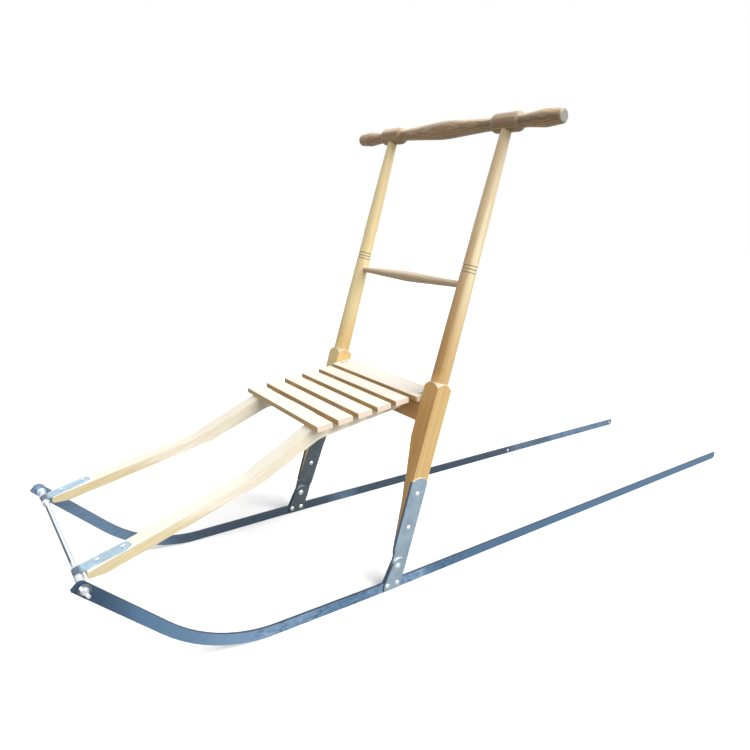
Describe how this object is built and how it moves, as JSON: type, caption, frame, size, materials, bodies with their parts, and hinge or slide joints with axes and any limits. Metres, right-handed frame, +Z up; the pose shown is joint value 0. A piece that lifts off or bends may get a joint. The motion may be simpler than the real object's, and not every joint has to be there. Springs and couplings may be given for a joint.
{
  "type": "kick sled",
  "caption": "Folding kick sled: slatted wooden seat and leaning turned posts with a handlebar, hinged on two long flat-steel runners with upturned tips.",
  "frame": {"origin": "centre of the bounding box on the ground: halfway along the sled, between the runners", "axes": "+X forward to the curved runner tips, +Y to the left, +Z up"},
  "size_m": [2.048, 0.628, 0.9689],
  "materials": {
    "post_wood": "clear-varnished beech, golden",
    "bar_wood": "clear-varnished turned beech, browner",
    "seat_wood": "pale planed wood, clear-varnished",
    "galvanised_steel": "zinc-coated, dull blue-grey",
    "bright_zinc": "bright zinc plating",
    "runner_steel": "dark blue-grey rolled spring steel, rubbed bright in places"
  },
  "bodies": {
    "chair": {"post_left": "post_wood", "post_right": "post_wood", "handlebar": "bar_wood", "rung": "bar_wood", "crossbar": "bar_wood", "rail_left": "seat_wood", "rail_right": "seat_wood", "slat_1": "seat_wood", "slat_2": "seat_wood", "slat_3": "seat_wood", "slat_4": "seat_wood", "slat_5": "seat_wood", "rear_board": "seat_wood", "board_screws": "bright_zinc", "foot_plate_left_outer": "galvanised_steel", "foot_plate_left_inner": "galvanised_steel", "foot_rivets_left": "bright_zinc", "foot_plate_right_outer": "galvanised_steel", "foot_plate_right_inner": "galvanised_steel", "foot_rivets_right": "bright_zinc", "cross_rod": "galvanised_steel", "rod_nuts_left": "bright_zinc", "rod_spacer_left": "galvanised_steel", "strap_left": "galvanised_steel", "strap_screws_left": "bright_zinc", "rod_nuts_right": "bright_zinc", "rod_spacer_right": "galvanised_steel", "strap_right": "galvanised_steel", "strap_screws_right": "bright_zinc"},
    "runner_left": {"runner_left": "runner_steel", "bracket_left_outer": "galvanised_steel", "bracket_left_inner": "galvanised_steel", "bracket_rivets_left": "bright_zinc", "hinge_bolt_left": "bright_zinc", "tip_bolt_left": "bright_zinc"},
    "runner_right": {"runner_right": "runner_steel", "bracket_right_outer": "galvanised_steel", "bracket_right_inner": "galvanised_steel", "bracket_rivets_right": "bright_zinc", "hinge_bolt_right": "bright_zinc", "tip_bolt_right": "bright_zinc"}
  },
  "joints": [
    {"name": "runner_left_fold", "type": "hinge", "parent": "chair", "child": "runner_left", "pos_m": [0.41599, 0.202, 0.052], "axis": [0, 1, 0], "range_deg": [0, 75]},
    {"name": "runner_right_fold", "type": "hinge", "parent": "chair", "child": "runner_right", "pos_m": [0.41599, -0.202, 0.052], "axis": [0, 1, 0], "range_deg": [0, 75]}
  ]
}
